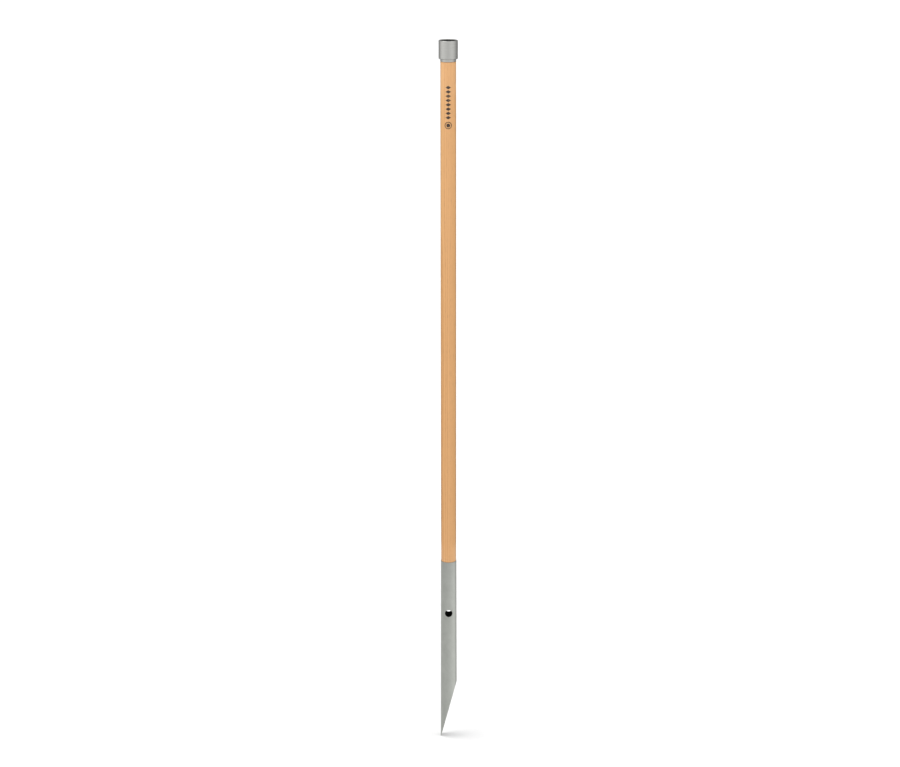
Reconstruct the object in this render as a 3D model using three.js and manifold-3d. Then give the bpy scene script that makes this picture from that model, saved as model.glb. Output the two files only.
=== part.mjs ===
// A long-handled garden dibber, in millimetres, +Z up.
//
// A round wooden pole stands in a steel spike: a slightly flared tube with a slanted, open point and
// a hole through both walls for a cross bar. At its upper end the pole carries a steel-sleeved socket:
// a flush ferrule on the turned-down end of the pole, a moulded plastic liner over it, and a steel
// sleeve rolled over the liner at both ends. The origin is on the pole's axis, level with the point,
// and -Y is the front. The point is on the -X side.
import * as THREE from "three";
import { mergeVertices } from "three/addons/utils/BufferGeometryUtils.js";
import Module from "manifold-3d";

const wasm = await Module();
wasm.setup();

// ---- Driving dimensions ----------------------------------------------------------------------

const SIDES = 48; // facets round each large circle
const SMALL_SIDES = 16; // facets round a screw, a washer or a small hole
const FIT_GAP = 0.3; // clearance between pieces that seat on or in each other
const EASE = 0.5; // chamfer on turned and cut edges

const POLE_D = 27.5;
const POLE_GRIP_LENGTH = 918; // between the shoulders, the wood that shows
const POLE_FOOT_LENGTH = 75; // turned down, inside the spike
const FOOT_TAPER = 3; // long chamfer that starts the foot into the spike

const SPIKE_LENGTH = 350; // from the point to the mouth
const SPIKE_WALL = 1.5;
const SPIKE_PROUD = 0.5; // how far the spike's mouth stands out past the wood
const SPIKE_FLARE = 0.8; // how much the radius grows from the mouth to the point
const SLANT_RISE = 110; // height of the slanted cut, from the point to its heel
const SLANT_TURN_DEG = -6; // the cut is this far off square to the cross hole
const POINT_LAND = 1.2; // width of the blunt flat left at the point
const CROSS_HOLE_D = 13.7;
const CROSS_HOLE_DROP = 100; // below the mouth

const SPIKE_SCREW_DROPS = [18, 52]; // below the mouth, on the back
const SPIKE_SCREW = { shank: 4, head: 7.6, headHeight: 2, length: 18 };

const FERRULE_WALL = 1.1;
const FERRULE_LENGTH = 12.5;
const NECK_SHOW = 4.4; // length of the ferrule that shows below the sleeve

const SLEEVE_HEIGHT = 32;
const SLEEVE_WALL = 1.5;
const SLEEVE_LIP = 1.6; // how far the top lip reaches in past the wall
const SLEEVE_CORNER = 0.9; // outer corner radius of both rolled ends

const SKIRT_WALL = 0.9; // of the liner, between the ferrule and the sleeve
const SOCKET_WALL = 2.5; // of the liner, round the socket
const SOCKET_FLOOR = 4; // thickness of the liner's floor
const SOCKET_LEAD_IN = 1.5; // height of the chamfer at the socket's mouth
const CATCH_COUNT = 2;
const CATCH_WIDTH = 7; // of each sprung catch cut in the socket's wall
const CATCH_HEIGHT = 9;
const CATCH_SLOT = 1; // width of the cut round a catch
const CATCH_RELIEF = 1; // hollow behind a catch, so that it can bend
const CATCH_NOSE = 0.7; // how far a catch's nose stands into the socket

const CAP_SCREW = { shank: 5, head: 9.4, headHeight: 3, length: 42 };
const WASHER_D = 15;
const WASHER_THICKNESS = 1.2;

// ---- Sizes that follow from them ---------------------------------------------------------------

const poleR = POLE_D / 2;
const spikeMouthR = poleR + SPIKE_PROUD;
const spikeFootR = spikeMouthR + SPIKE_FLARE;
const poleFootR = spikeMouthR - SPIKE_WALL - FIT_GAP;

const ferruleR = poleR;
const poleNeckR = ferruleR - FERRULE_WALL - FIT_GAP;
const skirtR = ferruleR + FIT_GAP;
const linerR = skirtR + SKIRT_WALL;
const sleeveBoreR = linerR + FIT_GAP;
const sleeveR = sleeveBoreR + SLEEVE_WALL;
const lipR = sleeveBoreR - SLEEVE_LIP;
const socketR = linerR - SOCKET_WALL;

// Heights in the object's frame.
const poleShoulder = SPIKE_LENGTH + FIT_GAP;
const ferruleFoot = poleShoulder + POLE_GRIP_LENGTH + FIT_GAP;
const sleeveFoot = ferruleFoot + NECK_SHOW;
const objectTop = sleeveFoot + SLEEVE_HEIGHT;

// Heights in the sleeve's own frame, where its lower edge is 0.
const skirtFoot = SLEEVE_WALL + FIT_GAP;
const linerTop = SLEEVE_HEIGHT - SLEEVE_WALL - FIT_GAP;
const ferruleTop = FERRULE_LENGTH - NECK_SHOW;
const floorUnder = ferruleTop + FIT_GAP;
const floorTop = floorUnder + SOCKET_FLOOR;

// The wood fills the ferrule, so its neck is as long as the ferrule.
const poleNeckLength = FIT_GAP + FERRULE_LENGTH;

// ---- Solids --------------------------------------------------------------------------------------

// A closed geometry as a manifold-3d solid.
function solidOf(geometry) {
  const bare = geometry.index ? geometry.toNonIndexed() : geometry.clone();
  bare.deleteAttribute("normal");
  bare.deleteAttribute("uv");
  const merged = mergeVertices(bare, 1e-4);
  const vertProperties = new Float32Array(merged.attributes.position.array);
  const triVerts = new Uint32Array(merged.index.array);
  return new wasm.Manifold(new wasm.Mesh({ numProp: 3, vertProperties, triVerts }));
}

// A manifold-3d solid as a geometry.
function geometryOf(solid) {
  const mesh = solid.getMesh();
  const geometry = new THREE.BufferGeometry();
  geometry.setAttribute("position", new THREE.BufferAttribute(new Float32Array(mesh.vertProperties), 3));
  geometry.setIndex(new THREE.BufferAttribute(new Uint32Array(mesh.triVerts), 1));
  geometry.computeVertexNormals();
  return geometry;
}

// Turns a profile of [radius, height] points about the Z axis. It runs up the outside.
function turned(profile, sides = SIDES) {
  const points = profile.map(([r, z]) => new THREE.Vector2(r, z));
  return new THREE.LatheGeometry(points, sides).rotateX(Math.PI / 2);
}

// Points of a quarter circle of this radius about (r, z), from one angle to another, in degrees.
function arc(r, z, radius, from, to, steps = 4) {
  return Array.from({ length: steps + 1 }, (_, i) => {
    const angle = THREE.MathUtils.degToRad(from + ((to - from) * i) / steps);
    return [r + radius * Math.cos(angle), z + radius * Math.sin(angle)];
  });
}

// A plain cylinder along Z, from one height to another.
function rod(radius, low, high, sides = SMALL_SIDES) {
  const geometry = new THREE.CylinderGeometry(radius, radius, high - low, sides);
  return geometry.rotateX(Math.PI / 2).translate(0, 0, (low + high) / 2);
}

// A box from its size and its centre.
function block(x, y, z, cx, cy, cz) {
  return new THREE.BoxGeometry(x, y, z).translate(cx, cy, cz);
}

function cut(body, ...tools) {
  return tools.reduce((left, tool) => left.subtract(solidOf(tool)), solidOf(body));
}

// The spike's outer radius at a height above the point.
function spikeRadiusAt(z) {
  return spikeFootR - (SPIKE_FLARE * z) / SPIKE_LENGTH;
}

// How far from the axis the head of a side screw sits, this far below the spike's mouth.
function sideScrewSeat(drop) {
  return spikeRadiusAt(SPIKE_LENGTH - drop) + FIT_GAP;
}

// ---- The pole ------------------------------------------------------------------------------------

// The hole that a wood screw's shank sits in, its axis along +Z, open up to a height.
function screwHole(screw, open) {
  return rod(screw.shank / 2 + FIT_GAP, -screw.length - FIT_GAP, open);
}

// Points a screw, drawn along +Z with its head up, out of the back of the spike.
function toTheBack(object) {
  return object.rotateX(-Math.PI / 2);
}

function poleGeometry() {
  const neckTop = POLE_GRIP_LENGTH + poleNeckLength;
  const body = turned([
    [0, -POLE_FOOT_LENGTH],
    [poleFootR - FOOT_TAPER / 2, -POLE_FOOT_LENGTH],
    [poleFootR, FOOT_TAPER - POLE_FOOT_LENGTH],
    [poleFootR, 0],
    [poleR - EASE, 0],
    [poleR, EASE],
    [poleR, POLE_GRIP_LENGTH - EASE],
    [poleR - EASE, POLE_GRIP_LENGTH],
    [poleNeckR, POLE_GRIP_LENGTH],
    [poleNeckR, neckTop - EASE],
    [poleNeckR - EASE, neckTop],
    [0, neckTop],
  ]);
  const sideHoles = SPIKE_SCREW_DROPS.map((drop) =>
    toTheBack(screwHole(SPIKE_SCREW, spikeFootR).translate(0, 0, sideScrewSeat(drop))).translate(
      0,
      0,
      -drop - FIT_GAP,
    ),
  );
  const seatUp = neckTop + FIT_GAP + SOCKET_FLOOR + WASHER_THICKNESS + 2 * FIT_GAP;
  const topHole = screwHole(CAP_SCREW, SOCKET_FLOOR).translate(0, 0, seatUp);
  return geometryOf(cut(body, topHole, ...sideHoles));
}

// ---- The spike -----------------------------------------------------------------------------------

// What the slanted cut takes away: all that lies under a plane that rises from the point to the heel.
function underTheSlant() {
  const reach = 2 * spikeFootR;
  const near = POINT_LAND - spikeRadiusAt(0);
  const slope = SLANT_RISE / (spikeRadiusAt(SLANT_RISE) - near);
  const outline = new THREE.Shape([
    new THREE.Vector2(near - reach, -reach * slope),
    new THREE.Vector2(near + 2 * reach, -reach * slope),
    new THREE.Vector2(near + 2 * reach, 2 * reach * slope),
  ]);
  return new THREE.ExtrudeGeometry(outline, { depth: 2 * reach, bevelEnabled: false })
    .rotateX(Math.PI / 2)
    .translate(0, reach, 0)
    .rotateZ(THREE.MathUtils.degToRad(SLANT_TURN_DEG));
}

function spikeGeometry() {
  const mouthBoreR = spikeMouthR - SPIKE_WALL;
  const footBoreR = spikeFootR - SPIKE_WALL;
  const tube = turned([
    [footBoreR, 0],
    [spikeFootR, 0],
    [spikeMouthR, SPIKE_LENGTH - EASE],
    [spikeMouthR - EASE / 2, SPIKE_LENGTH],
    [mouthBoreR, SPIKE_LENGTH],
    [footBoreR, 0],
  ]);
  const reach = 2 * spikeFootR;
  const crossHole = rod(CROSS_HOLE_D / 2, -reach, reach, 2 * SMALL_SIDES)
    .rotateX(Math.PI / 2)
    .translate(0, 0, SPIKE_LENGTH - CROSS_HOLE_DROP);
  const screwHoles = SPIKE_SCREW_DROPS.map((drop) =>
    toTheBack(rod(SPIKE_SCREW.shank / 2 + FIT_GAP, 0, reach)).translate(0, 0, SPIKE_LENGTH - drop),
  );
  return geometryOf(cut(tube, underTheSlant(), crossHole, ...screwHoles));
}

// ---- Screws and washer ---------------------------------------------------------------------------

// A pan-head wood screw along Z. The underside of the head is at 0 and the shank runs down from it.
function screwGeometry({ shank, head, headHeight, length }) {
  const shankR = shank / 2;
  const headR = head / 2;
  const rim = headHeight / 3;
  const dome = arc(0, rim, 1, 0, 90, 5).map(([x, z]) => [x * headR, rim + (z - rim) * (headHeight - rim)]);
  dome[dome.length - 1][0] = 0;
  const body = turned(
    [[0, -length], [shankR, shank - length], [shankR, 0], [headR, 0], ...dome],
    SMALL_SIDES,
  );
  const slot = head / 8;
  const span = 0.55 * head;
  const depth = headHeight / 2;
  const bars = [
    block(span, slot, 2 * depth, 0, 0, headHeight),
    block(slot, span, 2 * depth, 0, 0, headHeight),
  ];
  return geometryOf(cut(body, ...bars));
}

function washerGeometry() {
  const holeR = CAP_SCREW.shank / 2 + FIT_GAP;
  return turned(
    [
      [holeR, 0],
      [WASHER_D / 2, 0],
      [WASHER_D / 2, WASHER_THICKNESS],
      [holeR, WASHER_THICKNESS],
      [holeR, 0],
    ],
    2 * SMALL_SIDES,
  );
}

// ---- The socket at the top -----------------------------------------------------------------------

function ferruleGeometry() {
  const boreR = ferruleR - FERRULE_WALL;
  return turned([
    [boreR, 0],
    [ferruleR - EASE / 2, 0],
    [ferruleR, EASE / 2],
    [ferruleR, FERRULE_LENGTH - EASE / 2],
    [ferruleR - EASE / 2, FERRULE_LENGTH],
    [boreR, FERRULE_LENGTH],
    [boreR, 0],
  ]);
}

// Both ends of the sleeve are rolled in: the top over the liner, the bottom under its skirt.
function sleeveGeometry() {
  const cornerR = sleeveR - SLEEVE_CORNER;
  return turned([
    [skirtR, 0],
    ...arc(cornerR, SLEEVE_CORNER, SLEEVE_CORNER, -90, 0),
    ...arc(cornerR, SLEEVE_HEIGHT - SLEEVE_CORNER, SLEEVE_CORNER, 0, 90),
    [lipR, SLEEVE_HEIGHT],
    [lipR, SLEEVE_HEIGHT - SLEEVE_WALL],
    [sleeveBoreR, SLEEVE_HEIGHT - SLEEVE_WALL],
    [sleeveBoreR, SLEEVE_WALL],
    [skirtR, SLEEVE_WALL],
    [skirtR, 0],
  ]);
}

// What one catch takes out of the socket's wall, on the +X side: a slot up each flank, one over the
// top, and a relief in the outer face so that the tongue left between them can bend.
function catchCuts() {
  const foot = floorTop + CATCH_SLOT;
  const top = foot + CATCH_HEIGHT;
  const depth = 2 * SOCKET_WALL;
  const flankY = (CATCH_WIDTH + CATCH_SLOT) / 2;
  const middle = socketR + SOCKET_WALL / 2;
  const height = CATCH_HEIGHT + CATCH_SLOT;
  const flanks = [-1, 1].map((side) =>
    block(depth, CATCH_SLOT, height, middle, side * flankY, foot + height / 2),
  );
  const across = CATCH_WIDTH + 2 * CATCH_SLOT;
  const over = block(depth, across, CATCH_SLOT, middle, 0, top + CATCH_SLOT / 2);
  const relief = block(depth, across, height, linerR - CATCH_RELIEF + depth / 2, 0, foot + height / 2);
  return [...flanks, over, relief];
}

// The nose of a catch: a round bar across the tongue that stands a little into the socket.
function catchNose() {
  const noseR = 2 * CATCH_NOSE;
  const foot = floorTop + CATCH_SLOT;
  const width = CATCH_WIDTH - 2 * CATCH_NOSE;
  return rod(noseR, -width / 2, width / 2)
    .rotateX(Math.PI / 2)
    .translate(socketR + CATCH_NOSE, 0, foot + CATCH_HEIGHT - noseR - CATCH_NOSE);
}

function linerGeometry() {
  const screwHoleR = CAP_SCREW.shank / 2 + FIT_GAP;
  const body = turned([
    [skirtR, skirtFoot],
    [linerR, skirtFoot],
    [linerR, linerTop],
    [lipR, linerTop],
    [socketR, linerTop - SOCKET_LEAD_IN],
    [socketR, floorTop],
    [screwHoleR, floorTop],
    [screwHoleR, floorUnder],
    [skirtR, floorUnder],
    [skirtR, skirtFoot],
  ]);
  let liner = solidOf(body);
  for (let i = 0; i < CATCH_COUNT; i++) {
    const turn = (2 * Math.PI * i) / CATCH_COUNT;
    for (const tool of catchCuts()) liner = liner.subtract(solidOf(tool.rotateZ(turn)));
    liner = liner.add(solidOf(catchNose().rotateZ(turn)));
  }
  return geometryOf(liner);
}

// ---- The object ----------------------------------------------------------------------------------

const wood = new THREE.MeshStandardMaterial({ color: "#d9a878", roughness: 0.55, metalness: 0 });
const spikeSteel = new THREE.MeshStandardMaterial({ color: "#a3a7a0", roughness: 0.45, metalness: 0.7 });
const capSteel = new THREE.MeshStandardMaterial({ color: "#b4b5af", roughness: 0.35, metalness: 0.8 });
const blackPlastic = new THREE.MeshStandardMaterial({ color: "#22221f", roughness: 0.6, metalness: 0 });
const screwSteel = new THREE.MeshStandardMaterial({ color: "#b9bcbd", roughness: 0.35, metalness: 0.9 });

function piece(name, geometry, material, z = 0) {
  const mesh = new THREE.Mesh(geometry, material);
  mesh.name = name;
  mesh.position.z = z;
  return mesh;
}

function spike() {
  const group = new THREE.Group();
  group.add(piece("spike_tube", spikeGeometry(), spikeSteel));
  const names = ["spike_screw_upper", "spike_screw_lower"];
  SPIKE_SCREW_DROPS.forEach((drop, i) => {
    const screw = piece(names[i], screwGeometry(SPIKE_SCREW), screwSteel);
    toTheBack(screw);
    screw.position.set(0, sideScrewSeat(drop), SPIKE_LENGTH - drop);
    group.add(screw);
  });
  return group;
}

function socket() {
  const group = new THREE.Group();
  const washerFoot = floorTop + FIT_GAP;
  const screwSeat = washerFoot + WASHER_THICKNESS + FIT_GAP;
  group.add(
    piece("top_ferrule", ferruleGeometry(), capSteel, -NECK_SHOW),
    piece("socket_liner", linerGeometry(), blackPlastic),
    piece("cap_sleeve", sleeveGeometry(), capSteel),
    piece("cap_washer", washerGeometry(), screwSteel, washerFoot),
    piece("cap_screw", screwGeometry(CAP_SCREW), screwSteel, screwSeat),
  );
  group.position.z = sleeveFoot;
  return group;
}

const dibber = new THREE.Group();
dibber.add(spike(), piece("pole", poleGeometry(), wood, poleShoulder), socket());

export default dibber;
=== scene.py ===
"""The look of the garden dibber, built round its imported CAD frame.

Every length is in metres. The pole stands along +Z over the origin, and -Y is the front. The point
is on the -X side, the cross hole runs along Y and the side screws go in from the back.
"""

from math import asin, atan2, cos, pi, radians, sin, sqrt, tan

import bmesh
import bpy
from mathutils import Matrix, Vector


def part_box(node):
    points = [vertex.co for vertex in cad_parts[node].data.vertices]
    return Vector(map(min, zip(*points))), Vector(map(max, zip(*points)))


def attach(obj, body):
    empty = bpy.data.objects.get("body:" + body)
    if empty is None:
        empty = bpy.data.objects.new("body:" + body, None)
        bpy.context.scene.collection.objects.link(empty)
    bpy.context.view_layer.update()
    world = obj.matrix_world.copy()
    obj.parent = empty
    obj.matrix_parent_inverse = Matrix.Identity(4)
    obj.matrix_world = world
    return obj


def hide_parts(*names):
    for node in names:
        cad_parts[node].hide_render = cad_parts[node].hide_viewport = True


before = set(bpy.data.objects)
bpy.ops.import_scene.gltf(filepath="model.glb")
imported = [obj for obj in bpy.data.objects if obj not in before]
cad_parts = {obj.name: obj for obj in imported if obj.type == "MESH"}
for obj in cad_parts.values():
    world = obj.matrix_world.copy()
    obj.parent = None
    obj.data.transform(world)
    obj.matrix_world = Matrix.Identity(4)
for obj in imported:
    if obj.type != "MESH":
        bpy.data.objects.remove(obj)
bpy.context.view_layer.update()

MM = 0.001
ROUND = 128  # facets round the pole, the spike and the cap
SMALL_ROUND = 64  # facets round a screw or a washer
SHARP = radians(32)  # edges that turn more than this stay sharp

# ---- Sizes ---------------------------------------------------------------------------------------

POLE_LOW, POLE_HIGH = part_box("pole")
SPIKE_LOW, SPIKE_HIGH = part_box("spike_tube")
SLEEVE_LOW, SLEEVE_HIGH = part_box("cap_sleeve")
FERRULE_LOW, FERRULE_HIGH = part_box("top_ferrule")
LINER_LOW, LINER_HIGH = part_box("socket_liner")
WASHER_LOW, WASHER_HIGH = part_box("cap_washer")
CAP_SCREW_LOW, CAP_SCREW_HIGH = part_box("cap_screw")

FIT_GAP = 0.3 * MM  # between pieces that seat on or in each other

POLE_R = POLE_HIGH.x
FOOT_TAPER = 3 * MM
NECK_R = POLE_R - 1.4 * MM  # of the pole, inside the ferrule
SEAT_GAP = 0.08 * MM  # that shows where the pole's shoulder is pressed on the tube
SHOULDER_LOW = SPIKE_HIGH.z + SEAT_GAP
SHOULDER_HIGH = FERRULE_LOW.z - FIT_GAP

SPIKE_LENGTH = SPIKE_HIGH.z - SPIKE_LOW.z
SPIKE_WALL = 1.5 * MM
SPIKE_MOUTH_R = POLE_R + 0.5 * MM
SPIKE_FLARE = 0.8 * MM
SPIKE_FOOT_R = SPIKE_MOUTH_R + SPIKE_FLARE
SLANT_RISE = 110 * MM
SLANT_TURN = radians(-6)
POINT_LAND = 1.2 * MM
CROSS_HOLE_R = 6.85 * MM
CROSS_HOLE_Z = SPIKE_HIGH.z - 100 * MM
FOOT_R = SPIKE_MOUTH_R - SPIKE_WALL - FIT_GAP  # of the pole, inside the spike
SEAM_TURN = radians(196)  # where the tube's weld runs, from +X

SPIKE_SCREWS = {"spike_screw_upper": 18 * MM, "spike_screw_lower": 52 * MM}  # below the mouth

SLEEVE_R = SLEEVE_HIGH.x
SLEEVE_WALL = 1.5 * MM
LINER_R = LINER_HIGH.x
SKIRT_R = LINER_R - 0.9 * MM
LIP_R = SLEEVE_R - SLEEVE_WALL - 1.6 * MM
SOCKET_R = LINER_R - 2.5 * MM
FLOOR_UNDER = FERRULE_HIGH.z + FIT_GAP
FLOOR_TOP = FLOOR_UNDER + 4 * MM
LEAD_IN = 1.5 * MM
CATCH_WIDTH = 7 * MM
CATCH_HEIGHT = 9 * MM
CATCH_SLOT = 1 * MM
CATCH_RELIEF = 1 * MM
CATCH_NOSE = 0.7 * MM

# ---- Mesh tools ----------------------------------------------------------------------------------


def rounded(corners, steps=5):
    """A profile of (radius, height) points from corners of (radius, height, fillet radius).

    Each filleted corner becomes an arc, with one more point on each side of it to hold the shading.
    """
    points = []
    count = len(corners)
    for i, (r, z, fillet) in enumerate(corners):
        here = Vector((r, z))
        if not fillet:
            points.append(tuple(here))
            continue
        back = (Vector(corners[i - 1][:2]) - here).normalized()
        ahead = (Vector(corners[(i + 1) % count][:2]) - here).normalized()
        half = back.angle(ahead) / 2
        reach = fillet / tan(half)
        centre = here + (back + ahead).normalized() * (fillet / sin(half))
        start = here + back * reach - centre
        end = here + ahead * reach - centre
        first = atan2(start.y, start.x)
        sweep = (atan2(end.y, end.x) - first + pi) % (2 * pi) - pi
        points.append(tuple(centre + start + back * (fillet * 0.3)))
        for k in range(steps + 1):
            angle = first + sweep * k / steps
            points.append((centre.x + fillet * cos(angle), centre.y + fillet * sin(angle)))
        points.append(tuple(centre + end + ahead * (fillet * 0.3)))
    return points


def lathe(profile, sides=ROUND, ring=False):
    """A bmesh turned from a profile about Z. A ring's profile closes on itself, and any other's
    first and last points are on the axis."""
    bm = bmesh.new()
    rows = []
    for r, z in profile:
        if r < 1e-7:
            rows.append([bm.verts.new((0.0, 0.0, z))] * sides)
            continue
        turn = 2 * pi / sides
        rows.append([bm.verts.new((r * cos(turn * j), r * sin(turn * j), z)) for j in range(sides)])
    pairs = list(zip(rows, rows[1:]))
    if ring:
        pairs.append((rows[-1], rows[0]))
    for low, high in pairs:
        for j in range(sides):
            k = (j + 1) % sides
            corners = []
            for vert in (low[j], low[k], high[k], high[j]):
                if vert not in corners:
                    corners.append(vert)
            bm.faces.new(corners)
    bmesh.ops.recalc_face_normals(bm, faces=bm.faces)
    return bm


def box_mesh(size, centre):
    bm = bmesh.new()
    bmesh.ops.create_cube(bm, size=1.0)
    bmesh.ops.scale(bm, vec=size, verts=bm.verts)
    bmesh.ops.translate(bm, vec=centre, verts=bm.verts)
    return bm


def object_from(bm, name):
    """An object of a bmesh's faces, smooth but for its sharp edges."""
    for face in bm.faces:
        face.smooth = True
    for edge in bm.edges:
        edge.smooth = len(edge.link_faces) == 2 and edge.calc_face_angle(0.0) < SHARP
    mesh = bpy.data.meshes.new(name)
    bm.to_mesh(mesh)
    bm.free()
    made = bpy.data.objects.new(name, mesh)
    bpy.context.scene.collection.objects.link(made)
    return made


def combine(body, tool, operation="DIFFERENCE"):
    """Cuts, or adds, one bmesh from another, and gives the result as a bmesh."""
    first = object_from(body, "body")
    second = object_from(tool, "tool")
    modifier = first.modifiers.new("boolean", "BOOLEAN")
    modifier.operation = operation
    modifier.solver = "EXACT"
    modifier.object = second
    graph = bpy.context.evaluated_depsgraph_get()
    result = bmesh.new()
    result.from_mesh(first.evaluated_get(graph).to_mesh())
    for made in (first, second):
        bpy.data.objects.remove(made)
    return result


def ease_edges(bm, width, above=radians(40), segments=2):
    """Rounds the edges of a bmesh that turn more than an angle."""
    edges = [e for e in bm.edges if len(e.link_faces) == 2 and e.calc_face_angle(0.0) > above]
    bmesh.ops.bevel(
        bm, geom=edges, offset=width, offset_type="OFFSET", segments=segments, profile=0.5,
        affect="EDGES", clamp_overlap=True,
    )
    return bm


def piece(bm, name, node, slot, *materials):
    """A finished piece that stands for a CAD node."""
    made = object_from(bm, name)
    for material in materials:
        made.data.materials.append(material)
    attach(made, "root")
    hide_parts(node)
    return made


# ---- The pole ------------------------------------------------------------------------------------

SIDE_BORE = (1.4 * MM, 16 * MM)  # radius and depth of the side screws' holes in the wood
CAP_BORE = (1.7 * MM, 36 * MM)


def screw_bore(radius, depth):
    """A cutter for a drilled hole, with the hole's mouth at the origin and its axis down -Z."""
    point = radius * 0.6
    return lathe([(0.0, -depth - point), (radius, -depth), (radius, 2 * MM), (0.0, 2 * MM)], 32)


def to_the_back(bm, height, out):
    """Turns a bmesh made along +Z to point out of the back of the spike."""
    bmesh.ops.rotate(bm, cent=(0, 0, 0), matrix=Matrix.Rotation(-pi / 2, 3, "X"), verts=bm.verts)
    bmesh.ops.translate(bm, vec=(0.0, out, height), verts=bm.verts)
    return bm


def make_pole(material):
    top = POLE_HIGH.z
    profile = rounded(
        [
            (0.0, POLE_LOW.z, 0),
            (FOOT_R - FOOT_TAPER / 2, POLE_LOW.z, 0.6 * MM),
            (FOOT_R, POLE_LOW.z + FOOT_TAPER, 1.5 * MM),
            (FOOT_R, SHOULDER_LOW, 0.3 * MM),
            (POLE_R, SHOULDER_LOW, 0.2 * MM),
            (POLE_R, SHOULDER_HIGH, 0.5 * MM),
            (NECK_R, SHOULDER_HIGH, 0.3 * MM),
            (NECK_R, top, 0.5 * MM),
            (0.0, top, 0),
        ]
    )
    bm = lathe(profile)
    for drop in SPIKE_SCREWS.values():
        hole = to_the_back(screw_bore(*SIDE_BORE), SPIKE_HIGH.z - drop, FOOT_R)
        bm = combine(bm, hole)
    hole = screw_bore(*CAP_BORE)
    bmesh.ops.translate(hole, vec=(0.0, 0.0, top), verts=hole.verts)
    return piece(combine(bm, hole), "ash_pole", "pole", "pole", material)


# ---- The spike -----------------------------------------------------------------------------------

HEEL_ROW = 121 * MM  # above the slanted cut, where the tube's rows of faces turn level
SLOPING_ROWS = 14  # below it
# Of the grid round a hole: half its height, its rows and half its columns
CROSS_HOLE_ROWS = (9.5 * MM, 28, 14)
SCREW_HOLE_ROWS = (4.5 * MM, 14, 7)
SCREW_HOLE_R = 2.3 * MM
EASE = 0.25 * MM  # rounding of the slanted cut's edges
HOLE_EASE = 0.35 * MM  # rounding of the edges of the holes and the mouth


def level_rows(low, high, count):
    return [low + (high - low) * k / count for k in range(count)]


def spike_radius(z):
    return SPIKE_FOOT_R - SPIKE_FLARE * z / SPIKE_LENGTH


def slant_height(x, y):
    """The height of the slanted cut over a point."""
    along = x * cos(SLANT_TURN) + y * sin(SLANT_TURN)
    near = POINT_LAND - SPIKE_FOOT_R
    return SLANT_RISE * (along - near) / (spike_radius(SLANT_RISE) - near)


def weld_bead(angle):
    """How far the weld inside the tube stands in at this angle from +X."""
    off = ((angle - SEAM_TURN + pi) % (2 * pi) - pi) * (SPIKE_FOOT_R - SPIKE_WALL)
    return 0.3 * MM * max(0.0, 1 - (off / (1.2 * MM)) ** 2)


class TubeFace:
    """One face of the tube's wall as a grid of vertices, on which round holes are cut.

    A column is an angle round the axis and a row is a height. Below HEEL_ROW the rows slope down to
    the slanted cut.
    """

    def __init__(self, bm, rows, inner):
        self.bm = bm
        self.inner = inner
        self.rows = rows
        self.grid = []
        self.gone = set()
        self.made = []

    def radius(self, z, angle):
        if not self.inner:
            return spike_radius(z)
        return spike_radius(z) - SPIKE_WALL - weld_bead(angle)

    def point(self, angle, z):
        r = self.radius(z, angle)
        return Vector((r * cos(angle), r * sin(angle), z))

    def end(self, angle):
        """The height at which this face meets the slanted cut."""
        low, high = 0.0, HEEL_ROW
        for _ in range(40):
            z = (low + high) / 2
            at = self.point(angle, z)
            if slant_height(at.x, at.y) > z:
                low = z
            else:
                high = z
        return high if high > 1e-6 else 0.0

    def build(self):
        for j in range(ROUND):
            angle = 2 * pi * j / ROUND
            foot = self.end(angle) + EASE
            slope = level_rows(foot, HEEL_ROW, SLOPING_ROWS)
            column = [self.bm.verts.new(self.point(angle, z)) for z in [*slope, *self.rows]]
            self.grid.append(column)

    def row(self, z):
        """The index of the level row at this height."""
        return SLOPING_ROWS + min(range(len(self.rows)), key=lambda i: abs(self.rows[i] - z))

    def hole(self, angle, z, radius, ease, half_columns, half_height, rings=5):
        """Joins a hole's rim to the grid, and gives the rim's vertices in order."""
        middle = round(angle / (2 * pi) * ROUND)
        low, high = self.row(z - half_height), self.row(z + half_height)
        left, right = middle - half_columns, middle + half_columns
        for j in range(left, right):
            for i in range(low, high):
                self.gone.add((j % ROUND, i))
        border = [(j, low) for j in range(left, right)]
        border += [(right, i) for i in range(low, high)]
        border += [(j, high) for j in range(right, left, -1)]
        border += [(left, i) for i in range(high, low, -1)]
        spokes = []
        for j, i in border:
            vert = self.grid[j % ROUND][i]
            turn = 2 * pi * (j - middle) / ROUND
            across = spike_radius(z) * turn
            direction = atan2(vert.co.z - z, across)
            rim_turn = asin((radius + ease) * cos(direction) / spike_radius(z))
            rim_z = z + (radius + ease) * sin(direction)
            spoke = []
            for k in range(rings):
                share = (k / rings) ** 1.4
                at = rim_turn + (turn - rim_turn) * share
                spoke.append(
                    self.bm.verts.new(
                        self.point(angle + at, rim_z + (vert.co.z - rim_z) * share)
                    )
                )
            spokes.append((direction, [*spoke, vert]))
        for (_, a), (_, b) in zip(spokes, spokes[1:] + spokes[:1]):
            for k in range(rings):
                self.made.append(self.bm.faces.new((a[k], b[k], b[k + 1], a[k + 1])))
        # Vertices inside the hole are in no face.
        for j in range(left + 1, right):
            for i in range(low + 1, high):
                self.bm.verts.remove(self.grid[j % ROUND][i])
        return [(direction, spoke[0]) for direction, spoke in spokes]

    def faces(self):
        for j in range(ROUND):
            a, b = self.grid[j], self.grid[(j + 1) % ROUND]
            for i in range(len(a) - 1):
                if (j, i) not in self.gone:
                    self.made.append(self.bm.faces.new((a[i], b[i], b[i + 1], a[i + 1])))


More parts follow.
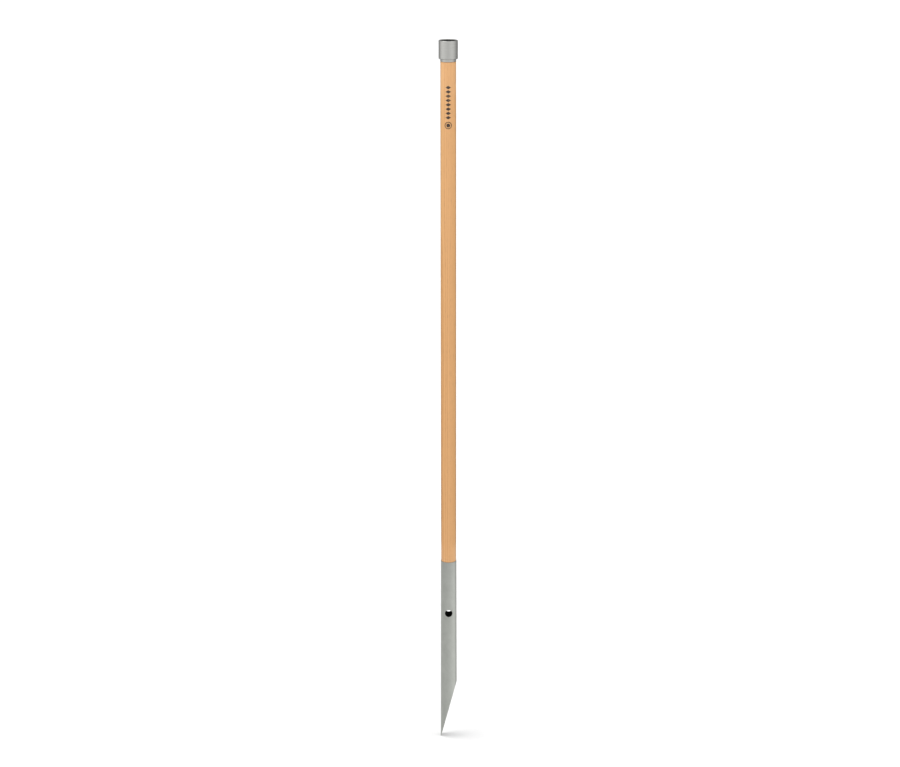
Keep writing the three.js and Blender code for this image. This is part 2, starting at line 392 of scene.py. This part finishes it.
def hole_wall(bm, outer, inner, angle, z, radius, ease):
    """Joins a hole's rims through the tube's wall, with its two edges rounded, and gives the faces
    that are behind its outer edge."""
    ahead = Vector((cos(angle), sin(angle), 0.0))
    aside = Vector((-sin(angle), cos(angle), 0.0))
    surface = spike_radius(z)
    steps = 4
    turns = [pi / 2 * k / steps for k in range(1, steps + 1)]
    depths = [(radius + ease * (1 - sin(t)), ease * (1 - cos(t))) for t in turns]
    depths += [(r, SPIKE_WALL - d) for r, d in reversed(depths)]
    rows = [[vert for _, vert in outer]]
    for r, depth in depths:
        row = []
        for direction, _ in outer:
            across = r * cos(direction)
            out = sqrt((surface - depth) ** 2 - across**2)
            rise = Vector((0.0, 0.0, z + r * sin(direction)))
            row.append(bm.verts.new(aside * across + ahead * out + rise))
        rows.append(row)
    rows.append([vert for _, vert in inner])
    count = len(outer)
    bands = []
    for a, b in zip(rows, rows[1:]):
        band = []
        for i in range(count):
            k = (i + 1) % count
            band.append(bm.faces.new((a[i], a[k], b[k], b[i])))
        bands.append(band)
    return [face for band in bands[steps:] for face in band]


def bend(a, corner, b, steps=3):
    """Points of a soft corner from a to b, without its ends."""
    out = []
    for k in range(1, steps):
        t = k / steps
        out.append(a * (1 - t) ** 2 + corner * (2 * t * (1 - t)) + b * t**2)
    return out


def eased(edge, middle):
    """Where the easing of an edge ends, on the way to the middle of the cut."""
    reach = middle - edge
    return edge + reach.normalized() * min(EASE, reach.length / 2)


def spike_end(bm, outer, inner):
    """Closes the tube's lower end: the slanted cut, with its two edges eased and the point blunt.

    Gives its faces.
    """
    near = POINT_LAND - SPIKE_FOOT_R
    rows = []
    faces = []
    for j in range(ROUND):
        angle = 2 * pi * j / ROUND
        out_edge = outer.point(angle, outer.end(angle))
        in_edge = inner.point(angle, inner.end(angle))
        lean = cos(angle - SLANT_TURN)
        land = near / lean if lean < 0 else 0.0
        ray = Vector((cos(angle), sin(angle), 0.0))
        if inner.radius(0.0, angle) < land < outer.radius(0.0, angle):
            middle = ray * land
        else:
            middle = (out_edge + in_edge) / 2
        on_out = eased(out_edge, middle)
        on_in = eased(in_edge, middle)
        path = [*bend(outer.grid[j][0].co, out_edge, on_out), on_out, middle, on_in]
        path += bend(on_in, in_edge, inner.grid[j][0].co)
        rows.append([outer.grid[j][0], *[bm.verts.new(p) for p in path], inner.grid[j][0]])
    for j in range(ROUND):
        a, b = rows[j], rows[(j + 1) % ROUND]
        for i in range(len(a) - 1):
            faces.append(bm.faces.new((a[i], b[i], b[i + 1], a[i + 1])))
    return faces


def spike_mouth(bm, outer, inner):
    """Closes the tube's upper end, with both edges rounded."""
    top = SPIKE_HIGH.z
    out_r, in_r = spike_radius(top), spike_radius(top) - SPIKE_WALL
    rows = [[column[-1] for column in outer.grid]]
    arcs = []
    steps = 4
    for k in range(1, steps + 1):
        t = pi / 2 * k / steps
        arcs.append((out_r - HOLE_EASE * (1 - cos(t)), top - HOLE_EASE * (1 - sin(t))))
    arcs += [(out_r + in_r - r, z) for r, z in reversed(arcs)]
    for r, z in arcs:
        row = []
        for j in range(ROUND):
            angle = 2 * pi * j / ROUND
            bead = weld_bead(angle) if r < (out_r + in_r) / 2 else 0.0
            row.append(bm.verts.new(((r - bead) * cos(angle), (r - bead) * sin(angle), z)))
        rows.append(row)
    rows.append([column[-1] for column in inner.grid])
    for a, b in zip(rows, rows[1:]):
        for j in range(ROUND):
            k = (j + 1) % ROUND
            bm.faces.new((a[j], a[k], b[k], b[j]))


def make_spike(steel, bare_steel, painted_shade_bore):
    front, back = -pi / 2, pi / 2
    holes = [(turn, CROSS_HOLE_Z, CROSS_HOLE_R, CROSS_HOLE_ROWS) for turn in (front, back)]
    screw_heights = [SPIKE_HIGH.z - drop for drop in SPIKE_SCREWS.values()]
    holes += [(back, z, SCREW_HOLE_R, SCREW_HOLE_ROWS) for z in screw_heights]
    rows = []
    at = HEEL_ROW
    for z, (half, count, _) in sorted({hole[1]: hole[3] for hole in holes}.items()):
        rows += level_rows(at, z - half, max(2, round((z - half - at) / (12 * MM))))
        rows += level_rows(z - half, z + half, count)
        at = z + half
    last = SPIKE_HIGH.z - HOLE_EASE
    rows += [*level_rows(at, last - 0.2 * MM, 2), last - 0.2 * MM, last]
    bm = bmesh.new()
    outer, inner = TubeFace(bm, rows, False), TubeFace(bm, rows, True)
    outer.build()
    inner.build()
    hole_walls = []
    for angle, z, radius, (half, _, half_columns) in holes:
        rims = [
            face.hole(angle, z, radius, HOLE_EASE, half_columns, half) for face in (outer, inner)
        ]
        hole_walls += hole_wall(bm, *rims, angle, z, radius, HOLE_EASE)
    outer.faces()
    inner.faces()
    bore_faces = inner.made + hole_walls
    cut_faces = spike_end(bm, outer, inner)
    spike_mouth(bm, outer, inner)
    bmesh.ops.recalc_face_normals(bm, faces=bm.faces)
    for face in cut_faces:
        face.material_index = 1
    # The bore and the holes' walls take the near-black material, which is painted shade.
    for face in bore_faces:
        face.material_index = 2
    return piece(bm, "steel_spike", "spike_tube", "spike", steel, bare_steel, painted_shade_bore)


# ---- Screws and washer ---------------------------------------------------------------------------

SIDE_SCREW = {
    "shank": 4 * MM,
    "head": 7.6 * MM,
    "head_height": 2 * MM,
    "length": 18 * MM,
    "pitch": 1.6 * MM,
}
CAP_SCREW = {
    "shank": 5 * MM,
    "head": 9.4 * MM,
    "head_height": 3 * MM,
    "length": 41.9 * MM,
    "pitch": 2 * MM,
}
HEAD_OVERLAP = 0.4 * MM  # of a screw's shank with its head, which join there
WASHER_HOLE_R = 2.8 * MM  # the hole in the liner's floor is the same


def recess_wing(width, wing, depth, top, turn):
    """A cutter for half of a cross recess: one tapered wing, turned about the axis."""
    bm = bmesh.new()
    part = bmesh.ops.create_cube(bm, size=1.0)["verts"]
    for vert in part:
        up = vert.co.z > 0
        x = vert.co.x * width * (1.0 if up else 0.35)
        y = vert.co.y * wing * (1.0 if up else 0.7)
        vert.co = Vector((x, y, top + 0.5 * MM if up else top - depth))
    bmesh.ops.rotate(bm, cent=(0, 0, 0), matrix=Matrix.Rotation(turn, 3, "Z"), verts=part)
    return bm


def threaded_shank(shank, length, pitch):
    """A screw's shank along -Z: a tapered point, a helical thread and a plain neck."""
    columns, per_turn = 32, 10
    crest, root = shank / 2, shank / 2 * 0.72
    step = pitch / per_turn
    rows = int((length + HEAD_OVERLAP) / step)
    bm = bmesh.new()
    grid = []
    for i in range(rows + 1):
        z = -length + i * step
        point = min(1.0, (z + length + 0.1 * MM) / (shank * 1.3))
        grown = max(0.0, min(1.0, (-z - shank * 0.5) / pitch))
        row = []
        for j in range(columns):
            turn = 2 * pi * j / columns
            phase = (z / pitch - turn / (2 * pi)) % 1.0
            ridge = max(0.0, 1 - abs(phase - 0.5) * 5)
            r = (root + (crest - root) * ridge * grown) * point
            row.append(bm.verts.new((r * cos(turn), r * sin(turn), z)))
        grid.append(row)
    for a, b in zip(grid, grid[1:]):
        for j in range(columns):
            k = (j + 1) % columns
            bm.faces.new((a[j], a[k], b[k], b[j]))
    bm.faces.new(list(reversed(grid[0])))
    bm.faces.new(grid[-1])
    bmesh.ops.recalc_face_normals(bm, faces=bm.faces)
    return bm


def screw(shank, head, head_height, length, pitch):
    """A pan-head wood screw along Z, with the underside of its head at 0."""
    r = head / 2
    rim = 0.36 * head_height
    dome = []
    for k in range(13):
        t = pi / 2 * k / 12
        dome.append((r * cos(t) ** 0.8, rim + (head_height - rim) * sin(t)))
    dome[-1] = (0.0, head_height)
    profile = [(0.0, 0.0), (r * 0.9, 0.0), (r * 0.985, 0.12 * MM), (r, 0.35 * MM), *dome]
    bm = lathe(profile, SMALL_ROUND)
    for turn in (0.0, pi / 2):
        wing = recess_wing(0.5 * head, 0.13 * head, 0.62 * head_height, head_height, turn)
        bm = combine(bm, wing)
    ease_edges(bm, 0.06 * MM, above=radians(50))
    bm = combine(bm, threaded_shank(shank, length, pitch), "UNION")
    bmesh.ops.dissolve_degenerate(bm, dist=0.001 * MM, edges=bm.edges)
    return bm


def make_screws(material):
    for name, drop in SPIKE_SCREWS.items():
        height = SPIKE_HIGH.z - drop
        seat = spike_radius(height) + FIT_GAP
        bm = to_the_back(screw(**SIDE_SCREW), height, seat)
        piece(bm, "pan_" + name, name, "fixings", material)
    bm = screw(**CAP_SCREW)
    seat = CAP_SCREW_HIGH.z - CAP_SCREW["head_height"]
    bmesh.ops.translate(bm, vec=(0.0, 0.0, seat), verts=bm.verts)
    piece(bm, "pan_cap_screw", "cap_screw", "fixings", material)


def make_washer(material):
    low, high = WASHER_LOW.z, WASHER_HIGH.z
    hole, rim = WASHER_HOLE_R, WASHER_HIGH.x
    soft = 0.3 * MM
    corners = [(hole, low, soft), (rim, low, soft), (rim, high, soft), (hole, high, soft)]
    bm = lathe(rounded(corners), SMALL_ROUND, ring=True)
    piece(bm, "flat_washer", "cap_washer", "fixings", material)


# ---- The socket at the top -----------------------------------------------------------------------


def make_ferrule(material):
    low, high = FERRULE_LOW.z, FERRULE_HIGH.z
    bore, rim = POLE_R - 1.1 * MM, FERRULE_HIGH.x
    soft = 0.3 * MM
    corners = [(bore, low, 0.15 * MM), (rim, low, soft), (rim, high, soft), (bore, high, 0.15 * MM)]
    piece(lathe(rounded(corners), ring=True), "steel_ferrule", "top_ferrule", "cap", material)


def make_sleeve(material):
    low, high = SLEEVE_LOW.z, SLEEVE_HIGH.z
    bore = SLEEVE_R - SLEEVE_WALL
    corners = [
        (SKIRT_R, low, 0.4 * MM),
        (SLEEVE_R, low, 1.0 * MM),
        (SLEEVE_R, high, 0.9 * MM),
        (LIP_R, high, 0.5 * MM),
        (LIP_R, high - SLEEVE_WALL, 0.3 * MM),
        (bore, high - SLEEVE_WALL, 0.3 * MM),
        (bore, low + SLEEVE_WALL, 0.3 * MM),
        (SKIRT_R, low + SLEEVE_WALL, 0.3 * MM),
    ]
    piece(lathe(rounded(corners, 7), ring=True), "steel_sleeve", "cap_sleeve", "cap", material)


def catch_cuts(turn):
    """What one sprung catch takes out of the liner, turned about Z: two flanks, a slot over the top
    and a relief behind it."""
    foot = FLOOR_TOP + CATCH_SLOT
    height = CATCH_HEIGHT + CATCH_SLOT
    middle = (SOCKET_R + LINER_R) / 2
    depth = 5 * MM
    across = CATCH_WIDTH + 2 * CATCH_SLOT
    flank = (CATCH_WIDTH + CATCH_SLOT) / 2
    parts = [
        box_mesh((depth, CATCH_SLOT, height), (middle, side * flank, foot + height / 2))
        for side in (-1, 1)
    ]
    parts.append(
        box_mesh((depth, across, CATCH_SLOT), (middle, 0.0, foot + CATCH_HEIGHT + CATCH_SLOT / 2))
    )
    back = LINER_R - CATCH_RELIEF + depth / 2
    parts.append(box_mesh((depth, across, height), (back, 0.0, foot + height / 2)))
    for bm in parts:
        bmesh.ops.rotate(bm, cent=(0, 0, 0), matrix=Matrix.Rotation(turn, 3, "Z"), verts=bm.verts)
    return parts


def catch_nose(turn):
    """The round nose across a catch."""
    r = 2 * CATCH_NOSE
    half = CATCH_WIDTH / 2 - CATCH_NOSE
    height = FLOOR_TOP + CATCH_SLOT + CATCH_HEIGHT - r - CATCH_NOSE
    soft = 0.3 * MM
    bm = lathe(rounded([(0.0, -half, 0), (r, -half, soft), (r, half, soft), (0.0, half, 0)]), 40)
    bmesh.ops.rotate(bm, cent=(0, 0, 0), matrix=Matrix.Rotation(pi / 2, 3, "X"), verts=bm.verts)
    bmesh.ops.translate(bm, vec=(SOCKET_R + CATCH_NOSE, 0.0, height), verts=bm.verts)
    bmesh.ops.rotate(bm, cent=(0, 0, 0), matrix=Matrix.Rotation(turn, 3, "Z"), verts=bm.verts)
    return bm


def make_liner(material):
    low, high = LINER_LOW.z, LINER_HIGH.z
    hole = WASHER_HOLE_R
    corners = [
        (SKIRT_R, low, 0.2 * MM),
        (LINER_R, low, 0.2 * MM),
        (LINER_R, high, 0.3 * MM),
        (LIP_R, high, 0.3 * MM),
        (SOCKET_R, high - LEAD_IN, 0.5 * MM),
        (SOCKET_R, FLOOR_TOP, 0.8 * MM),
        (hole, FLOOR_TOP, 0.2 * MM),
        (hole, FLOOR_UNDER, 0.2 * MM),
        (SKIRT_R, FLOOR_UNDER, 0.3 * MM),
    ]
    bm = lathe(rounded(corners), ring=True)
    for turn in (0.0, pi):
        for cutter in catch_cuts(turn):
            bm = combine(bm, cutter)
        bm = combine(bm, catch_nose(turn), "UNION")
    piece(bm, "moulded_liner", "socket_liner", "liner", material)


# ---- Materials -----------------------------------------------------------------------------------


class Paint:
    """A material under construction: add() makes a node and wires its inputs."""

    def __init__(self, name, **surface):
        self.material = bpy.data.materials.new(name)
        self.material.use_nodes = True
        self.tree = self.material.node_tree
        self.shader = self.tree.nodes["Principled BSDF"]
        for socket, value in surface.items():
            self.shader.inputs[socket.replace("_", " ")].default_value = value

    def add(self, kind, inputs, output=0, **settings):
        node = self.tree.nodes.new("ShaderNode" + kind)
        for key, value in settings.items():
            setattr(node, key, value)
        for socket, value in inputs.items():
            self.wire(node.inputs[socket], value)
        return node.outputs[output]

    def wire(self, socket, value):
        if isinstance(value, bpy.types.NodeSocket):
            self.tree.links.new(value, socket)
        else:
            socket.default_value = value

    def math(self, operation, a, b=0.0):
        return self.add("Math", {0: a, 1: b}, operation=operation)

    def blend(self, share, a, b):
        return self.add("Mix", {0: share, 6: a, 7: b}, output=2, data_type="RGBA")

    def ramp(self, value, *stops):
        """A grey value that follows (position, level) stops."""
        node = self.tree.nodes.new("ShaderNodeValToRGB")
        while len(node.color_ramp.elements) < len(stops):
            node.color_ramp.elements.new(1.0)
        for element, (place, level) in zip(node.color_ramp.elements, stops):
            element.position = place
            element.color = (level, level, level, 1.0)
        self.wire(node.inputs[0], value)
        return node.outputs[0]

    def place(self):
        return self.add("TexCoord", {}, output=3)

    def noise(self, vector, scale, detail=2.0, rough=0.5):
        """Noise stretched by a scale of its own along each axis, in features per metre."""
        mapped = self.add("Mapping", {0: vector, 3: scale})
        inputs = {"Vector": mapped, "Scale": 1.0, "Detail": detail, "Roughness": rough}
        return self.add("TexNoise", inputs)

    def reach(self, a, b):
        """The length of a vector that is a across and b up."""
        squares = [self.math("POWER", side, 2.0) for side in (a, b)]
        return self.math("SQRT", self.math("ADD", *squares))

    def bump(self, height, distance, strength=1.0):
        return self.add("Bump", {"Strength": strength, "Distance": distance, "Height": height})

    def finish(self, **sockets):
        for socket, value in sockets.items():
            self.wire(self.shader.inputs[socket.replace("_", " ")], value)
        return self.material


def colour(r, g, b):
    return (r, g, b, 1.0)


RING_SPACING = 2.3 * MM
PITH = (0.058, 0.034)  # of the tree, off the pole's axis
MARK_FOOT = POLE_HIGH.z - 131 * MM  # of the printed mark on the pole


def printed_mark(paint, place):
    """1 where the mark is printed on the pole's front: a ring and a dot under a row of lozenges."""
    parts = paint.tree.nodes.new("ShaderNodeSeparateXYZ")
    paint.wire(parts.inputs[0], place)
    x, y, z = parts.outputs
    turn = paint.math("ARCTAN2", x, paint.math("MULTIPLY", y, -1.0))
    across = paint.math("MULTIPLY", turn, POLE_R)
    up = paint.math("SUBTRACT", z, MARK_FOOT)

    middle, dot, ring_in, ring_out = 8.5 * MM, 3.4 * MM, 5.0 * MM, 6.4 * MM
    far = paint.reach(across, paint.math("SUBTRACT", up, middle))
    ring = paint.math("COMPARE", far, (ring_in + ring_out) / 2)
    ring.node.inputs[2].default_value = (ring_out - ring_in) / 2
    badge = paint.math("MAXIMUM", ring, paint.math("LESS_THAN", far, dot))

    low, high, pitch = 18.5 * MM, 78.7 * MM, 7.5 * MM
    half_width, half_height = 4.9 * MM, 3.1 * MM
    count = paint.math("DIVIDE", paint.math("SUBTRACT", up, low), pitch)
    off = paint.math("ABSOLUTE", paint.math("SUBTRACT", paint.math("FRACT", count), 0.5))
    slope = paint.math("MULTIPLY", off, pitch / half_height)
    side = paint.math("DIVIDE", paint.math("ABSOLUTE", across), half_width)
    reach = paint.math("ADD", slope, side)
    span = paint.math(
        "MULTIPLY", paint.math("GREATER_THAN", up, low), paint.math("LESS_THAN", up, high)
    )
    lozenges = paint.math("MULTIPLY", paint.math("LESS_THAN", reach, 1.0), span)
    return paint.math("MAXIMUM", badge, lozenges)


def ash_wood():
    paint = Paint("ash_lacquered", Coat_Weight=0.8, Coat_Roughness=0.16, Roughness=0.5)
    place = paint.place()

    # The growth rings wander slowly along the pole.
    drift = paint.noise(place, (9.0, 9.0, 1.3), detail=2.0)
    fine_drift = paint.noise(place, (90.0, 90.0, 9.0), detail=1.0)
    parts = paint.tree.nodes.new("ShaderNodeSeparateXYZ")
    paint.wire(parts.inputs[0], place)
    dx = paint.math("SUBTRACT", parts.outputs[0], PITH[0])
    dy = paint.math("SUBTRACT", parts.outputs[1], PITH[1])
    far = paint.reach(dx, dy)
    far = paint.math("ADD", far, paint.math("MULTIPLY", drift, 9 * MM))
    far = paint.math("ADD", far, paint.math("MULTIPLY", fine_drift, 0.6 * MM))
    ring = paint.math("FRACT", paint.math("DIVIDE", far, RING_SPACING))
    early = paint.ramp(ring, (0.0, 1.0), (0.22, 0.85), (0.42, 0.15), (0.9, 0.0), (1.0, 1.0))

    fibre = paint.noise(place, (2600.0, 2600.0, 22.0), detail=3.0, rough=0.6)
    streak = paint.noise(place, (620.0, 620.0, 2.2), detail=3.0, rough=0.55)
    broad = paint.noise(place, (60.0, 60.0, 1.6), detail=2.0)
    pores = paint.noise(place, (2100.0, 2100.0, 95.0), detail=1.0)
    pores = paint.ramp(pores, (0.60, 0.0), (0.68, 1.0))
    pores = paint.math("MULTIPLY", pores, early)

    late_wood = colour(0.785, 0.419, 0.157)
    early_wood = colour(0.673, 0.329, 0.11)
    tone = paint.blend(early, late_wood, early_wood)
    tone = paint.blend(
        paint.math("MULTIPLY", paint.ramp(streak, (0.3, 0.0), (0.75, 1.0)), 0.5),
        tone,
        colour(0.626, 0.304, 0.0989),
    )
    tone = paint.blend(
        paint.math("MULTIPLY", paint.ramp(broad, (0.35, 0.0), (0.7, 1.0)), 0.3),
        tone,
        colour(0.842, 0.469, 0.189),
    )
    tone = paint.blend(paint.math("MULTIPLY", fibre, 0.16), tone, colour(0.486, 0.221, 0.0645))
    tone = paint.blend(paint.math("MULTIPLY", pores, 0.5), tone, colour(0.30, 0.14, 0.055))

    # Painted shade: the pole is a little darker towards the spike, standing in for less light
    # falling on its lower part.
    height = paint.math("DIVIDE", paint.math("SUBTRACT", parts.outputs[2], SHOULDER_LOW), 0.92)
    painted_shade_low = paint.ramp(height, (0.0, 1.0), (0.75, 0.0))
    tone = paint.blend(paint.math("MULTIPLY", painted_shade_low, 0.22), tone, colour(0.43, 0.205, 0.07))

    worn = paint.ramp(paint.noise(place, (900.0, 900.0, 300.0)), (0.28, 0.6), (0.42, 1.0))
    ink = paint.math("MULTIPLY", printed_mark(paint, place), worn)
    tone = paint.blend(paint.math("MULTIPLY", ink, 0.97), tone, colour(0.028, 0.013, 0.007))

    relief = paint.math("SUBTRACT", paint.math("MULTIPLY", fibre, 0.35), pores)
    normal = paint.bump(relief, 0.05 * MM, 0.6)
    rough = paint.math("ADD", paint.math("MULTIPLY", fibre, 0.14), 0.42)
    return paint.finish(Base_Color=tone, Roughness=rough, Normal=normal)


def drawn_steel():
    """The zinc-coated tube: fine lines drawn along it, and a coat that varies a little."""
    paint = Paint("zinc_coated_steel", Metallic=1.0, Roughness=0.4)
    place = paint.place()
    lines = paint.noise(place, (2400.0, 2400.0, 14.0), detail=3.0, rough=0.6)
    cloud = paint.noise(place, (110.0, 110.0, 70.0), detail=4.0, rough=0.6)
    crystal = paint.add("TexVoronoi", {"Vector": place, "Scale": 520.0}, output=1)
    grain = paint.add("SeparateColor", {0: crystal})
    mottle = paint.ramp(cloud, (0.3, 0.0), (0.7, 1.0))
    tone = paint.blend(mottle, colour(0.476, 0.492, 0.456), colour(0.549, 0.565, 0.528))
    tone = paint.blend(paint.math("MULTIPLY", grain, 0.16), tone, colour(0.64, 0.66, 0.63))
    tone = paint.blend(paint.math("MULTIPLY", lines, 0.2), tone, colour(0.36, 0.37, 0.34))
    rough = paint.math("ADD", paint.math("MULTIPLY", cloud, 0.16), 0.30)
    rough = paint.math("ADD", rough, paint.math("MULTIPLY", grain, 0.06))
    normal = paint.bump(lines, 0.012 * MM, 0.5)
    return paint.finish(Base_Color=tone, Roughness=rough, Normal=normal)


def bore_shade_paint():
    """The inside of the tube, painted near black in dark patches: painted shade in the bore."""
    paint = Paint("bore_shade_paint", Metallic=0.6)
    place = paint.place()
    patches = paint.noise(place, (160.0, 160.0, 50.0), detail=4.0, rough=0.6)
    tone = paint.blend(patches, colour(0.022, 0.021, 0.020), colour(0.05, 0.047, 0.043))
    rough = paint.math("ADD", paint.math("MULTIPLY", patches, 0.2), 0.5)
    normal = paint.bump(patches, 0.05 * MM, 0.5)
    return paint.finish(Base_Color=tone, Roughness=rough, Normal=normal)


def sawn_steel():
    """The bare steel where the tube's point was cut."""
    paint = Paint("sawn_steel", Metallic=1.0)
    place = paint.place()
    marks = paint.noise(place, (300.0, 60.0, 1500.0), detail=3.0, rough=0.6)
    tone = paint.blend(marks, colour(0.36, 0.36, 0.345), colour(0.50, 0.50, 0.48))
    rough = paint.math("ADD", paint.math("MULTIPLY", marks, 0.2), 0.34)
    return paint.finish(Base_Color=tone, Roughness=rough, Normal=paint.bump(marks, 0.03 * MM, 0.6))


def turned_steel():
    """The cap: fine lines brushed round it."""
    paint = Paint("brushed_steel", Metallic=1.0)
    place = paint.place()
    lines = paint.noise(place, (60.0, 60.0, 7000.0), detail=3.0, rough=0.65)
    cloud = paint.noise(place, (140.0, 140.0, 140.0), detail=3.0)
    tone = paint.blend(lines, colour(0.50, 0.50, 0.475), colour(0.60, 0.60, 0.575))
    tone = paint.blend(paint.math("MULTIPLY", cloud, 0.25), tone, colour(0.47, 0.475, 0.46))
    rough = paint.math("ADD", paint.math("MULTIPLY", lines, 0.14), 0.22)
    return paint.finish(Base_Color=tone, Roughness=rough, Normal=paint.bump(lines, 0.006 * MM, 0.5))


def black_plastic():
    paint = Paint("black_plastic", Specular_IOR_Level=0.25)
    place = paint.place()
    texture = paint.noise(place, (2500.0, 2500.0, 2500.0), detail=2.0)
    tone = paint.blend(texture, colour(0.014, 0.014, 0.013), colour(0.022, 0.022, 0.020))
    rough = paint.math("ADD", paint.math("MULTIPLY", texture, 0.2), 0.42)
    normal = paint.bump(texture, 0.02 * MM, 0.5)
    return paint.finish(Base_Color=tone, Roughness=rough, Normal=normal)


def bright_zinc():
    paint = Paint("bright_zinc", Metallic=1.0)
    place = paint.place()
    cloud = paint.noise(place, (900.0, 900.0, 900.0), detail=3.0)
    tone = paint.blend(cloud, colour(0.60, 0.61, 0.62), colour(0.72, 0.73, 0.73))
    rough = paint.math("ADD", paint.math("MULTIPLY", cloud, 0.16), 0.20)
    return paint.finish(Base_Color=tone, Roughness=rough, Normal=paint.bump(cloud, 0.01 * MM, 0.4))


# ---- Camera, floor and lights --------------------------------------------------------------------


def make_camera():
    data = bpy.data.cameras.new("camera")
    data.lens = 92.4
    data.sensor_width = 36.0
    data.clip_start = 0.1
    data.clip_end = 200.0
    camera = bpy.data.objects.new("camera", data)
    camera.location = (0.0034, -4.0, 1.832)
    camera.rotation_euler = (radians(90 - 15.96), radians(0.035), 0.0)
    bpy.context.scene.collection.objects.link(camera)
    bpy.context.scene.camera = camera


def add_light(kind, name, location, target, power, **settings):
    data = bpy.data.lights.new(name, kind)
    data.energy = power
    for key, value in settings.items():
        setattr(data, key, value)
    light = bpy.data.objects.new(name, data)
    light.location = location
    light.rotation_euler = (Vector(target) - light.location).to_track_quat("-Z", "Y").to_euler()
    bpy.context.scene.collection.objects.link(light)
    return light


def make_lights():
    world = bpy.data.worlds.new("studio")
    world.use_nodes = True
    nodes, links = world.node_tree.nodes, world.node_tree.links
    background = nodes["Background"]
    background.inputs["Color"].default_value = colour(1.0, 1.0, 1.0)
    # Its light is stronger from the front, a little to the left. The camera sees an even white.
    toward = nodes.new("ShaderNodeVectorMath")
    toward.operation = "DOT_PRODUCT"
    toward.inputs[1].default_value = Vector((-0.13, -0.95, 0.3)).normalized()
    links.new(nodes.new("ShaderNodeTexCoord").outputs["Generated"], toward.inputs[0])
    given = nodes.new("ShaderNodeMapRange")
    given.inputs["From Min"].default_value = -1.0
    given.inputs["To Min"].default_value = 0.40
    given.inputs["To Max"].default_value = 1.18
    links.new(toward.outputs["Value"], given.inputs["Value"])
    strength = nodes.new("ShaderNodeMix")
    strength.inputs["B"].default_value = 1.05
    links.new(nodes.new("ShaderNodeLightPath").outputs["Is Camera Ray"], strength.inputs["Factor"])
    links.new(given.outputs[0], strength.inputs["A"])
    links.new(strength.outputs["Result"], background.inputs["Strength"])
    bpy.context.scene.world = world
    add_light("SUN", "key", (-1.6, 0.0, 3.0), (0.0, 0.0, 0.0), 0.80, angle=radians(36))
    add_light("SUN", "fill", (1.6, -0.1, 3.0), (0.0, 0.0, 0.0), 0.30, angle=radians(40))


def make_surround(name, distance, low, high, tones):
    """A drum round the object that only reflections see: the studio's cards and dark corners.

    tones are (azimuth, brightness) stops. The azimuth is 0 at the front and 90 at +X.
    """
    sides = 96
    bm = bmesh.new()
    bmesh.ops.create_cone(
        bm, cap_ends=False, segments=sides, radius1=distance, radius2=distance, depth=high - low
    )
    bmesh.ops.translate(bm, vec=(0.0, 0.0, (low + high) / 2), verts=bm.verts)
    if low == 0.0:
        # A drum that starts on the floor gets a bottom, just above the floor.
        edge = [v for v in bm.verts if v.co.z < high / 2]
        bmesh.ops.translate(bm, vec=(0.0, 0.0, 0.5 * MM), verts=edge)
        bmesh.ops.contextual_create(bm, geom=edge)
    drum = object_from(bm, name)
    drum.visible_camera = False
    drum.visible_diffuse = False
    drum.visible_shadow = False
    drum.visible_transmission = False
    paint = Paint(name)
    parts = paint.tree.nodes.new("ShaderNodeSeparateXYZ")
    paint.wire(parts.inputs[0], paint.place())
    x, y, _ = parts.outputs
    turn = paint.math("ARCTAN2", x, paint.math("MULTIPLY", y, -1.0))
    share = paint.math("ADD", paint.math("DIVIDE", turn, 2 * pi), 0.5)
    tone = paint.ramp(share, *[(azimuth / 360 + 0.5, level) for azimuth, level in tones])
    glow = paint.tree.nodes.new("ShaderNodeEmission")
    paint.wire(glow.inputs["Color"], tone)
    output = paint.tree.nodes["Material Output"]
    paint.wire(output.inputs["Surface"], glow.outputs[0])
    paint.tree.nodes.remove(paint.shader)
    drum.data.materials.append(paint.material)


def make_surrounds():
    make_surround(
        "surround_low",
        0.15,
        0.0,
        0.33,
        [
            (-180, 0.8),
            (-120, 0.69),
            (-90, 0.67),
            (-45, 0.67),
            (0, 0.73),
            (30, 0.80),
            (60, 0.92),
            (84, 1.0),
            (100, 1.0),
            (122, 0.5),
            (150, 0.35),
            (180, 0.8),
        ],
    )
    make_surround(
        "surround_mid",
        0.15,
        0.33,
        1.19,
        [(-180, 0.0), (-125, 0.0), (-80, 0.35), (0, 0.5), (80, 0.35), (125, 0.0), (180, 0.0)],
    )
    make_surround(
        "surround_high",
        0.6,
        0.9,
        1.8,
        [
            (-180, 0.3),
            (-150, 0.22),
            (-116, 0.52),
            (-96, 0.85),
            (-70, 1.0),
            (-40, 0.90),
            (0, 0.77),
            (20, 0.83),
            (40, 0.96),
            (65, 0.85),
            (81, 0.70),
            (98, 0.54),
            (119, 0.34),
            (150, 0.28),
            (180, 0.3),
        ],
    )


def make_floor():
    bm = bmesh.new()
    bmesh.ops.create_grid(bm, x_segments=8, y_segments=8, size=60.0)
    floor = object_from(bm, "floor")
    paint = Paint("pale_floor", Roughness=0.9, Specular_IOR_Level=0.1)
    floor.data.materials.append(paint.finish(Base_Color=colour(0.95, 0.95, 0.95)))


# ---- The scene -----------------------------------------------------------------------------------

make_camera()
make_lights()
make_surrounds()
make_floor()

make_pole(ash_wood())
make_spike(drawn_steel(), sawn_steel(), bore_shade_paint())
zinc = bright_zinc()
make_screws(zinc)
make_washer(zinc)
cap_steel = turned_steel()
make_ferrule(cap_steel)
make_sleeve(cap_steel)
make_liner(black_plastic())

bpy.context.scene.view_settings.view_transform = "Standard"
